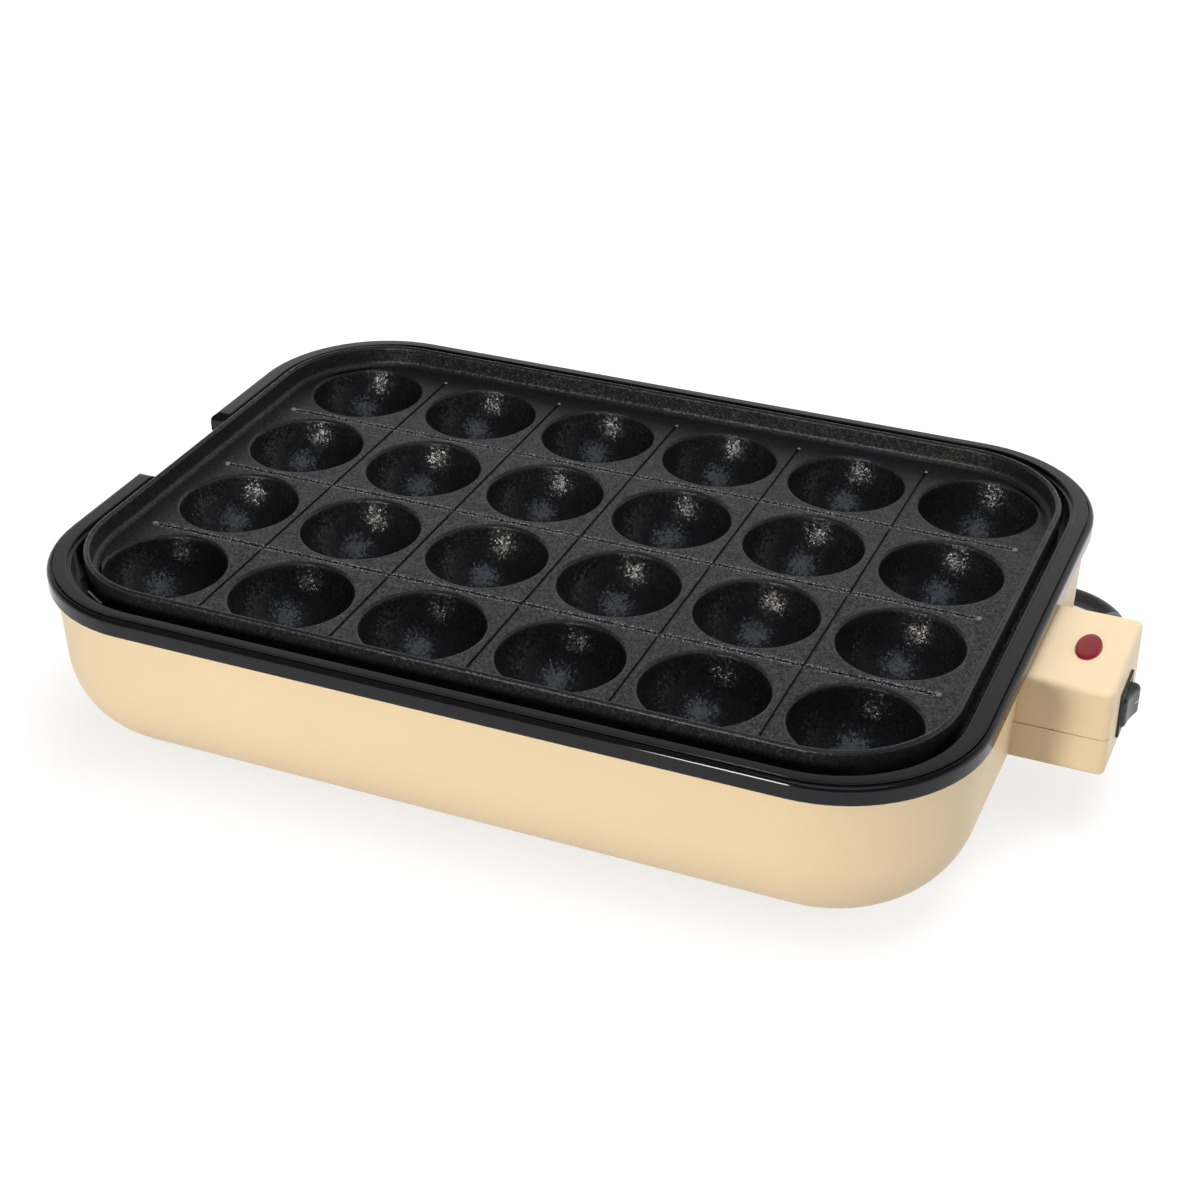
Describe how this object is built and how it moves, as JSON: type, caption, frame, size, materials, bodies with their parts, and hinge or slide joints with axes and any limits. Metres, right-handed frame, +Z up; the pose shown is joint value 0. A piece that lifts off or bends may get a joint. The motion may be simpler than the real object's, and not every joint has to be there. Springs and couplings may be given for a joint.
{
  "type": "takoyaki maker",
  "caption": "Countertop electric takoyaki maker: lift-out cooking plate with rows of round cavities, guard ring, moulded body, side box with rocker switch and mains cord",
  "frame": {"origin": "on the table plane, under the middle of the appliance (body, side box and rocker), the free cord left out", "axes": "+X along the long side towards the side box, +Y towards the back where the cord leaves, +Z up"},
  "size_m": [0.338, 0.3081, 0.0649],
  "materials": {
    "nonstick": "cast aluminium with black non-stick coating",
    "gloss_black": "gloss black moulding",
    "cream": "satin cream moulding",
    "rubber": "matt black rubber",
    "steel": "plain sheet steel",
    "ceramic": "white ceramic",
    "element_sheath": "heat-darkened steel sheath",
    "phenolic": "brown phenolic",
    "silicone": "red silicone",
    "red_lens": "clear deep red moulding",
    "lamp_glass": "clear glass bulb",
    "white_plastic": "natural nylon",
    "switch_black": "fine matt black",
    "brass": "plain brass",
    "cord_black": "dull black cord jacket",
    "glass_sleeve": "woven glass sleeving",
    "lead_red": "red insulated wire"
  },
  "bodies": {
    "base": {"guard_ring": "gloss_black", "outer_body": "cream", "rubber_feet": "rubber", "heat_tray": "steel", "heat_shield": "steel", "tray_spacers": "ceramic", "tray_screws": "steel", "plate_locators": "steel", "heating_element": "element_sheath", "element_seals": "ceramic", "element_pins": "steel", "element_saddles": "steel", "thermostat": "phenolic", "thermostat_bracket": "steel", "thermal_fuse": "ceramic", "fuse_clip": "steel", "lead_grommet": "silicone", "box_lower": "cream", "box_upper": "cream", "box_screws": "steel", "box_mount_screws": "steel", "lamp_lens": "red_lens", "neon_lamp": "lamp_glass", "lamp_clip": "white_plastic", "lamp_resistor": "ceramic", "switch_housing": "switch_black", "switch_terminals": "brass", "cord_clamp": "white_plastic", "clamp_screws": "steel", "strain_relief": "cord_black", "cord_entry": "cord_black", "lead_live": "cord_black", "lead_neutral": "white_plastic", "lead_heater": "glass_sleeve", "lead_thermostat": "glass_sleeve", "lamp_leads": "lead_red", "crimp_sleeves": "steel", "cord_lead": "cord_black", "cord_coil": "cord_black", "cord_tail": "cord_black", "cord_tie": "cord_black", "plug_body": "cord_black", "plug_blades": "brass"},
    "plate": {"cooking_plate": "nonstick"},
    "switch_rocker": {"rocker": "switch_black", "contact_blade": "brass"}
  },
  "joints": [
    {"name": "plate_lift", "type": "slide", "parent": "base", "child": "plate", "axis": [0, 0, 1], "range_m": [0, 0.06]},
    {"name": "rocker_press", "type": "hinge", "parent": "base", "child": "switch_rocker", "pos_m": [0.1635, 0, 0.0384], "axis": [0, 0, 1], "range_deg": [0, 24]}
  ]
}
